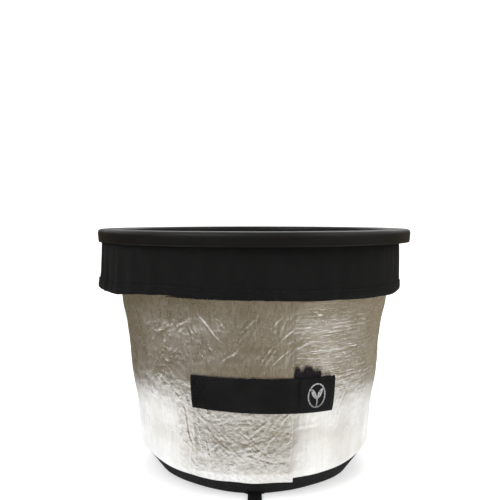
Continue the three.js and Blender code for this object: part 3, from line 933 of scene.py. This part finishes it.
def loop_patch():
    start, end = angle_span("loop_patch")
    low, high = height_span("loop_patch")
    high -= 11
    angles = np.linspace(start, end, 60)
    a, z = angles[:, None], np.linspace(low, high, 44)[None, :]
    z = z + 1.1 * lattice_noise(a * ALONG, z * 0, 1.3, 9, 51) * np.clip((z - high + 6) / 6, 0, 1)
    nap = 0.2 * lattice_noise(a * ALONG, z, 1.3, 1.3, 52)
    base = swell(a, z) + 0.3
    outer, inner = on_wall(a, z, base + 0.75 + nap), on_wall(a, z, base)
    piece = layer("loop_patch", outer, inner, False, angles * ALONG, z[0])
    dress(piece, NAP, "bag", ["loop_patch"])

    rng = np.random.default_rng(53)
    count = 1300
    root_a = rng.uniform(start, end, count)
    tuft = np.clip(lattice_noise(root_a * ALONG, 0 * root_a, 2.2, 9, 54) * 1.7 + 0.45, 0, 1)
    at_top = rng.random(count) < 0.8
    root_z = np.where(at_top, rng.uniform(high - 2.5, high, count), rng.uniform(STRAP_HIGH - 6, high, count))
    length = np.minimum(1.2 + rng.exponential(2.0, count) * (0.7 + 1.4 * tuft), 9.0)
    lean = rng.normal(0, 0.06, count)
    t = np.linspace(0, 1, 5)[None, :]
    fibre_a = root_a[:, None] + lean[:, None] * length[:, None] * t ** 1.5 / ALONG
    fibre_z = root_z[:, None] + length[:, None] * t
    rise = rng.uniform(0.2, 0.9, count)[:, None] * np.sin(t * 2.4) + 0.6
    paths = on_wall(fibre_a, fibre_z, swell(fibre_a, fibre_z) + 0.5 + rise)
    dress(tubes("loop_nap", paths, 0.13, 4), NAP, "bag")


loop_patch()


# ---- Cuff: hung by simulation from its top fold, then hemmed ----

CUFF_LOW, CUFF_HIGH = height_span("cuff_skirt")
CUFF_THICKNESS = 1.7
HANG_FRAMES = 26
HANG_LIMIT = 1.6                            # how far the simulation may move a point


def ring_centre_and_radius(node, z):
    """Centre offset along X and radius of a leaning ring node near a height."""
    points = node_points(node)
    near = points[np.abs(points[:, 2] - z) < 1.0]
    low, high = near[:, 0].min(), near[:, 0].max()
    return (low + high) / 2, (high - low) / 2


HEM_DEGREES = [-180, -120, -75, -55, -37, -28, -15, 0, 25, 50, 62, 75, 110, 180]
HEM_DROPS = [1.0, 1.5, 2.0, 3.2, 0.2, -0.8, 0.6, 1.3, 3.0, 4.4, 5.4, 4.5, 2.0, 1.0]


def hem_drop(angle):
    """How much lower than its CAD solid the cuff's hem hangs."""
    return smooth_steps(np.degrees(angle), HEM_DEGREES, HEM_DROPS)


def cuff_start_shape(angles, heights):
    """The cuff before it hangs: a skirt that leans with its CAD solid and waves more towards its hem."""
    low_x, low_r = ring_centre_and_radius("cuff_skirt", CUFF_LOW)
    high_x, high_r = ring_centre_and_radius("cuff_skirt", CUFF_HIGH - 9)
    down = np.clip((CUFF_HIGH - heights) / (CUFF_HIGH - CUFF_LOW), 0, 1)[None, :]
    a = angles[:, None]
    fold = np.exp(-((CUFF_HIGH - heights) / 2.0) ** 2)[None, :]
    waves = 1.1 * np.sin(5 * a + 0.6) + 0.9 * np.sin(9 * a + 2.1) + 0.7 * np.sin(14 * a)
    flare = 2.2 * np.exp(-((a + math.pi / 2) / 0.5) ** 2)
    r = high_r + (low_r - high_r) * down - CUFF_THICKNESS / 2 - 2.6 * fold
    r = r + (0.75 * waves + flare) * down ** 1.6
    x = high_x + (low_x - high_x) * down + 0 * a
    z = heights[None, :] - hem_drop(a) * down
    return np.stack([x + r * np.sin(a), -r * np.cos(a), z], -1)


def hang_cloth(points):
    """Lets a skirt of cloth, indexed [along, down], hang from its first rows. Gives its new points."""
    columns, rows, _ = points.shape
    cloth = add_mesh("hanging_cloth", points.reshape(-1, 3), ring_quads(columns, rows))
    held = cloth.vertex_groups.new(name="held")
    for row in range(rows):
        weight = (1.0, 1.0, 0.9, 0.6, 0.3)[row] if row < 5 else 0.0
        held.add([int(k) for k in np.arange(columns) * rows + row], weight, "REPLACE")
    wall_outline = [[100, 150], [132.0, 150], [132.5, 190], [133.5, 214], [120, 214], [100, 190]]
    wall = turned("cloth_stop", wall_outline, 96)
    wall.modifiers.new("Collision", "COLLISION")
    wall.collision.thickness_outer = 0.001
    modifier = cloth.modifiers.new("Cloth", "CLOTH")
    settings = modifier.settings
    values = dict(quality=8, mass=0.35, tension_stiffness=40, compression_stiffness=40, shear_stiffness=20,
                  bending_stiffness=4, shrink_min=-0.012, vertex_group_mass="held")
    for key, value in values.items():
        setattr(settings, key, value)
    modifier.collision_settings.distance_min = 0.001
    scene = bpy.context.scene
    for frame_number in range(1, HANG_FRAMES + 1):
        scene.frame_set(frame_number)
    result = cloth.evaluated_get(bpy.context.evaluated_depsgraph_get())
    hung = np.array([v.co for v in result.data.vertices]).reshape(columns, rows, 3) / MM
    bpy.data.objects.remove(cloth)
    bpy.data.objects.remove(wall)
    scene.frame_set(1)
    return hung


def grid_normals(grid):
    """Outward unit normals of a ring of points, indexed [along, up]."""
    along = np.roll(grid, -1, 0) - np.roll(grid, 1, 0)
    up = np.gradient(grid, axis=1)
    normal = np.cross(along, up)
    return normal / np.linalg.norm(normal, axis=-1, keepdims=True)


def cuff():
    """The skirt with its hem and the hem's stitches."""
    radius, rows = 143, 26
    angles, _ = ring_angles(300)
    heights = np.linspace(CUFF_HIGH - 0.8, CUFF_LOW, rows)
    skirt = cuff_start_shape(angles[:-1], heights)
    skirt = skirt + np.clip(hang_cloth(skirt) - skirt, -HANG_LIMIT, HANG_LIMIT)
    middle = skirt[:, ::-1]
    normal = grid_normals(middle)
    up = np.linspace(0, CUFF_HIGH - CUFF_LOW, rows)
    half = CUFF_THICKNESS / 2
    outer, inner = middle + normal * half, middle - normal * half
    piece = layer("cuff_skirt", outer, inner, True, angles * radius, up)
    dress(piece, CUFF_CLOTH, "bag", ["cuff_skirt"])

    hem_rows = 5
    band_normal = normal[:, :hem_rows]
    swellings = np.array([0.35, 0.75, 0.8, 0.75, 0.35])[None, :, None]
    ripple = 0.12 * np.sin(angles[:-1] * radius / 3.4 * TURN / 2)[:, None, None]
    band = middle[:, :hem_rows] - np.array([0, 0, 0.9]) * np.linspace(1, 0, hem_rows)[None, :, None]
    hem_outer = band + band_normal * (half + swellings + ripple)
    hem_inner = band - band_normal * (half + swellings)
    hem = layer("cuff_hem", hem_outer, hem_inner, True, angles * radius, up[:hem_rows])
    dress(hem, CUFF_CLOTH, "bag", ["cuff_hem"])

    seam = (middle[:, hem_rows - 2] + middle[:, hem_rows - 1]) / 2 + normal[:, hem_rows - 1] * (half + 0.72)
    after = np.roll(seam, -1, axis=0)
    paths = stitch_paths(seam * 0.88 + after * 0.12, seam * 0.14 + after * 0.86, 0.12)
    dress(tubes("hem_stitch", paths, 0.3, 5), THREAD, "bag")


cuff()


def rim_cord():
    """The elastic cord, which puckers the fold round it."""
    low, high = height_span("rim_cord")
    radius = (high - low) / 2
    section = arc((0, (low + high) / 2), radius, 0, 360 * 15 / 16, 16)
    centre_x, ring_r = ring_centre_and_radius("rim_cord", (low + high) / 2)
    profile = [[ring_r - radius + p[0], p[1]] for p in section]
    piece = turned("rim_cord", profile, 240, lambda a, z: 0.1 * np.sin(a * 220))
    shift(piece, centre_x, 0)
    dress(piece, ELASTIC, "bag", ["rim_cord"])


rim_cord()


# ---- Felt wall, boot, base panel, stiffener and eyelets ----

def bag_wall():
    heights, radii = outline("bag_wall")
    radius, thickness = 118, 2.0
    outer = resampled(np.stack([radii, heights], -1), 3.0)
    inner = outer - [thickness, 0]
    relief = lambda a, z: 0.12 * lattice_noise(a * radius, z, 9, 12, 61, TURN * radius)
    piece = turned("bag_wall", np.concatenate([outer, inner[::-1]]), 200, relief)
    dress(piece, FELT, "bag", ["bag_wall"])


def knit(s, v):
    """Rows of knitted chevrons: 0 in the gaps, 1 on top of a stitch."""
    width, height = 3.3, 2.5
    column = s / width - np.floor(s / width)
    leg = np.abs(2 * column - 1)
    cord = np.sin(math.pi * leg) ** 0.7
    row = np.sin(TURN * (v / height + 0.55 * leg))
    return cord * (0.62 + 0.38 * row)


def base_boot():
    """The knitted base. It sags outwards near the ground, at the front and at both sides."""
    radius = 97
    heights, radii = outline("base_boot")
    visible = heights <= CORNER_Z + 0.01
    slope = resampled(np.stack([radii[visible], heights[visible]], -1), 0.75)
    top = resampled(np.stack([radii, heights], -1)[heights >= CORNER_Z - 0.01], 3.0)[1:]
    outer = np.concatenate([slope, top])
    inner = outer.copy()
    inner[:, 0] -= np.where(outer[:, 1] < CORNER_Z, 3.0, 2.0)
    inner[:, 1] = np.maximum(inner[:, 1], outer[:, 1] + 0.2)
    angles, a = ring_angles(900)
    along = lengths_along(outer)[None, :]
    fade = np.clip((30 - outer[None, :, 1]) / 4, 0, 1)
    relief = (0.75 * knit(a * radius, along) - 0.5) * fade
    relief = relief + 0.25 * lattice_noise(a * radius, along, 20, 14, 71, TURN * radius)
    sag = 3.0 * np.exp(-(a / 0.42) ** 2) + 2.2 * np.exp(-((a - 0.95) / 0.3) ** 2)
    sag = sag + 4.4 * np.exp(-((np.abs(a) - 1.3) / 0.42) ** 2)
    sag = sag * np.clip(1 - outer[None, :, 1] / CORNER_Z, 0, 1)
    grids = [around(profile[:, 0] + bump * 0.74 + sag, a, np.maximum(profile[:, 1] - bump * 0.67, 0.05))
             for profile, bump in ((outer, relief), (inner, 0))]
    piece = layer("base_boot", *grids, True, angles * radius, along[0])
    dress(piece, KNIT, "bag", ["base_boot"])


def boot_stitches():
    """The row of stitches that joins the base panel to the boot."""
    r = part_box("base_panel")[1].x / MM + 1.2
    count = 150
    turn = np.arange(count) * TURN / count
    reach = TURN / count * 0.36
    paths = stitch_paths(around(r, turn - reach, 0.42), around(r, turn + reach, 0.42), 0.0)
    dress(tubes("base_seam", paths, 0.38), THREAD, "bag")


def cut_round(piece, places, radius, low, high):
    """Cuts upright round holes through a piece."""
    for x, y in places:
        bpy.ops.mesh.primitive_cylinder_add(vertices=40, radius=radius * MM, depth=(high - low) * MM,
                                            location=(x * MM, y * MM, (low + high) / 2 * MM))
        drill = bpy.context.active_object
        modifier = piece.modifiers.new("drill", "BOOLEAN")
        modifier.operation = "DIFFERENCE"
        modifier.object = drill
        modifier.solver = "EXACT"
        bpy.context.view_layer.objects.active = piece
        bpy.ops.object.modifier_apply(modifier=modifier.name)
        bpy.data.objects.remove(drill)


def disc(name, radius, low, high, edge, relief):
    """A round plate with rounded edges, as rings of points from its middle outwards on both faces."""
    columns = 144
    turns = np.linspace(0, TURN, columns, endpoint=False)
    radii = np.append(np.linspace(4, radius - edge, 22), radius - edge * 0.3)
    inset = np.where(radii > radius - edge, edge * 0.3, 0)
    top = np.stack([radii, high - inset], -1).tolist()
    bottom = np.stack([radii, low + inset], -1).tolist()
    profile = np.array(top + [[radius, (low + high) / 2]] + bottom[::-1])
    r, z = profile[:, 0][None], profile[:, 1][None]
    x, y = r * np.cos(turns)[:, None], r * np.sin(turns)[:, None]
    faced = np.where(z > (low + high) / 2, relief(x, y), 0)
    points = np.stack([x, y, z + faced], -1)
    size = len(profile)
    vertices = np.concatenate([points.reshape(-1, 3), [[0, 0, high], [0, 0, low]]])
    hub_high, hub_low = columns * size, columns * size + 1
    faces = ring_quads(columns, size).tolist()
    for k in range(columns):
        n = (k + 1) % columns
        faces.append([k * size, n * size, hub_high])
        faces.append([n * size + size - 1, k * size + size - 1, hub_low])
    uvs = np.concatenate([vertices[face][:, :2] for face in faces]) * MM
    return add_mesh(name, vertices, faces, uvs)


EYELETS = ["drain_eyelet_%d" % n for n in range(1, 5)]


def eyelet_places():
    return [((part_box(n)[0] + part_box(n)[1]) / 2 / MM)[:2] for n in EYELETS]


def base_plate(node, edge, relief, material):
    """A plate in the base, with a hole for each eyelet."""
    piece = disc(node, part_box(node)[1].x / MM, *height_span(node), edge, relief)
    cut_round(piece, eyelet_places(), 6.5, -5, 15)
    return dress(piece, material, "bag", [node])


def base_plates():
    matted = lambda x, y: 0.08 * lattice_noise(x, y + 100, 3, 3, 81) - 0.1
    felt = base_plate("base_panel", 0.9, matted, FELT)
    base_plate("base_stiffener", 0.6, lambda x, y: 0 * x, BOARD)


def eyelets():
    """A rolled barrel below and a domed flange above, for each drain hole."""
    for node, (x, y) in zip(EYELETS, eyelet_places()):
        low, high = height_span(node)
        barrel, wall = 6.1, 1.0
        flange = (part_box(node)[1].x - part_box(node)[0].x) / 2 / MM
        outer = [[barrel, low], [barrel, high - 0.9], [flange - 1, high - 0.75], [flange - 0.1, high - 0.65],
                 [flange, high - 0.45], [flange - 0.5, high - 0.2], [flange - 2, high]]
        inner = [[barrel - wall, low], [barrel - wall, high - 1.4], [barrel - wall + 0.1, high - 0.9],
                 [barrel - wall + 0.4, high - 0.4], [barrel - 0.1, high - 0.1], [barrel + 0.4, high],
                 [barrel + 0.9, high]]
        piece = turned(node + "_ring", outer + inner[::-1], 48)
        shift(piece, x, y)
        dress(piece, METAL, "bag", [node])


bag_wall()
base_boot()
boot_stitches()
base_plates()
eyelets()


# ---- Base tab ----

def base_tab():
    """Folded webbing that lies on the ground and flares where it is sewn in."""
    (_, low_y, low_z), (_, high_y, high_z) = [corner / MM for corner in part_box("base_tab")]
    half = 11.5 / 2
    y = high_y + (low_y - high_y) * np.linspace(0, 1, 60)
    flare = 2.5 * np.clip(1 - (high_y - y) / 2.5, 0, 1) ** 2
    tip = np.clip((low_y + 5 - y) / 5, 0, 1)
    width = (half + flare) * np.sqrt(np.clip(1 - 0.75 * tip ** 3, 0.02, 1))
    across = np.sin(np.linspace(-math.pi / 2, math.pi / 2, 14))
    x = width[:, None] * across[None, :]
    crown = 0.25 * (1 - np.abs(across) ** 6)[None, :] + 0.12 * np.sin(y / 3)[:, None]
    top = np.stack([x, y[:, None] + 0 * x, high_z - 0.35 + crown + 0 * x], -1)
    bottom = np.stack([x, y[:, None] + 0 * x, low_z + 0.1 + 0 * x], -1)
    piece = layer("base_tab", top[:, ::-1], bottom[:, ::-1], False, high_y - y, across * half)
    dress(piece, WEBBING, None, ["base_tab"])
    piece.visible_glossy = False            # the crumpled foil above it doesn't show a mirror image of it
    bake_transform(piece)


base_tab()


# ---- Liner pot ----

def liner_pot():
    """One moulding: floor, tapered wall, wider band and a rolled rim that turns down outside the cuff."""
    wall_z, wall_r = outline("liner_wall")
    rim_low, rim_high = height_span("liner_rim")
    rim_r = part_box("liner_rim")[1].x / MM
    floor_low, floor_high = height_span("liner_floor")
    skin = 2.0
    outside = [[2.0, floor_low]]
    outside += [[r, z] for r, z in zip(wall_r, wall_z) if z < rim_low - 1.0]
    band_r = outside[-1][0]
    outside = [p for i, p in enumerate(outside) if i == 0 or abs(p[1] - outside[i - 1][1]) > 0.9]
    under = rim_high - 2.4
    outside += [[band_r + 0.2, under - 1.0]]
    outside += arc((band_r + 1.4, under - 1.2), 1.2, 180, 90, 5)
    outside += arc((rim_r - 3.8, under - 1.2), 1.2, 90, 0, 5)
    outside += [[rim_r - 2.4, rim_low + 0.6]]
    outside += arc((rim_r - 1.5, rim_low + 0.9), 0.9, 180, 360, 7)
    outside += arc((rim_r - 2.6, rim_high - 2.6), 2.6, 0, 90, 9)
    bottom = resampled(outside, 2.2)
    inside = [[2.0, floor_high]]
    inside += [[r - skin, z + 0.8] for r, z in zip(wall_r, wall_z) if floor_high < z < rim_low - 1.0]
    inside += [[band_r - skin + 0.2, rim_high - 2.2]]
    inside += arc((band_r - skin + 2.0, rim_high - 1.8), 1.8, 180, 90, 6)
    top = resampled(inside, 2.2)
    half = max(len(bottom), len(top))
    refit = lambda p: np.stack([np.interp(np.linspace(0, 1, half), np.linspace(0, 1, len(p)), p[:, k])
                                for k in (0, 1)], -1)
    profile = np.concatenate([refit(bottom), refit(top)[::-1]])
    wobble = lambda a, z: (0.35 * np.sin(3 * a + 0.4) + 0.2 * np.sin(7 * a)) * np.clip((z - 190) / 37, 0, 1)
    piece = turned("liner_pot", profile, 256, wobble)
    cut_round(piece, eyelet_places(), 6.0, 0, 20)
    dress(piece, PLASTIC, "liner", ["liner_wall", "liner_rim", "liner_floor"])


liner_pot()


# ---- Studio ----

def bowl(name, profile, columns):
    """An open surface turned about the upright axis from [radius, height] points, with its middle closed."""
    turns = np.linspace(0, TURN, columns, endpoint=False)[:, None]
    r, z = profile[None, :, 0], profile[None, :, 1]
    points = np.stack([r * np.sin(turns), r * np.cos(turns), z + 0 * turns], -1)
    size = len(profile)
    faces = ring_quads(columns, size)[:, ::-1].tolist() + [[k * size for k in range(columns)][::-1]]
    return add_mesh(name, points.reshape(-1, 3), faces)


def add_floor():
    """A pale floor that curves up far behind the bag on all sides."""
    reach, bend, height = 2600, 900, 2200
    profile = [[2, 0]] + [[r, 0] for r in (300, 700, 1200, reach - bend)]
    profile += arc((reach - bend, bend), bend, -90, 0, 14)[1:] + [[reach, height]]
    floor = bowl("floor", np.array(profile, float), 96)
    s = Shader("floor")
    floor.data.materials.append(s.finish(Base_Color=(0.86, 0.86, 0.86, 1), Roughness=0.8,
                                         Emission_Color=(1, 1, 1, 1), Emission_Strength=0.3))
    floor.visible_shadow = False


def add_reflector():
    """What the foil mirrors: a shallow bowl round the bag that only reflections see.

    It is white near the bag and brown further out, and the brown comes closer in front of the bag.
    """
    profile = [[r, 0.4] for r in (3, 60, 120, 180, 240, 300, 400, 600, 1000, 1100)]
    profile += [[1150, 60], [1160, 550]]
    card = bowl("reflector", np.array(profile, float), 96)
    s = Shader("reflector")
    x, y, _ = s.axes(s.position)
    distance = s.add("VectorMath", "Value", {0: s.position}, operation="LENGTH")
    angle = s.math("ARCTAN2", x, s.times(y, -1.0))
    off_front = s.math("ABSOLUTE", s.math("ADD", angle, 0.11))
    edges = ((0.12, 0.215), (0.27, 0.345))      # white ends, brown starts: each in front and at the sides
    start, end = [s.remap(off_front, 0.50, 0.74, *edge) for edge in edges]
    far = s.remap(distance, start, end)
    side = s.remap(angle, -0.6, 0.9)
    brown = s.mix(side, (0.132, 0.106, 0.066, 1), (0.235, 0.198, 0.136, 1))
    radiance = s.mix(far, (1.07, 1.115, 1.18, 1), brown)
    emission = s.tree.nodes.new("ShaderNodeEmission")
    s.feed(emission.inputs["Color"], radiance)
    s.tree.links.new(emission.outputs[0], s.output.inputs[0])
    card.data.materials.append(s.material)
    for flag in ("visible_camera", "visible_diffuse", "visible_shadow", "visible_transmission"):
        setattr(card, flag, False)


def add_light(name, location, target, size, power):
    data = bpy.data.lights.new(name, "AREA")
    data.shape = "RECTANGLE"
    data.size, data.size_y = size
    data.energy = power
    light = bpy.data.objects.new(name, data)
    light.location = location
    light.rotation_euler = (Vector(target) - Vector(location)).to_track_quat("-Z", "Y").to_euler()
    bpy.context.scene.collection.objects.link(light)


def add_world():
    world = bpy.data.worlds.new("studio")
    world.use_nodes = True
    background = world.node_tree.nodes["Background"]
    background.inputs["Color"].default_value = (1.0, 0.99, 0.975, 1)
    background.inputs["Strength"].default_value = 0.6
    bpy.context.scene.world = world


add_floor()
add_reflector()
add_world()
add_light("key", (-0.9, -1.1, 1.3), (0, 0, 0.1), (1.0, 1.0), 14)
add_light("fill", (1.2, -0.7, 0.9), (0, 0, 0.1), (0.9, 1.2), 8)
add_light("back", (0.2, 1.3, 1.4), (0, 0, 0.15), (1.4, 0.8), 12)
bpy.context.scene.view_settings.view_transform = "Standard"
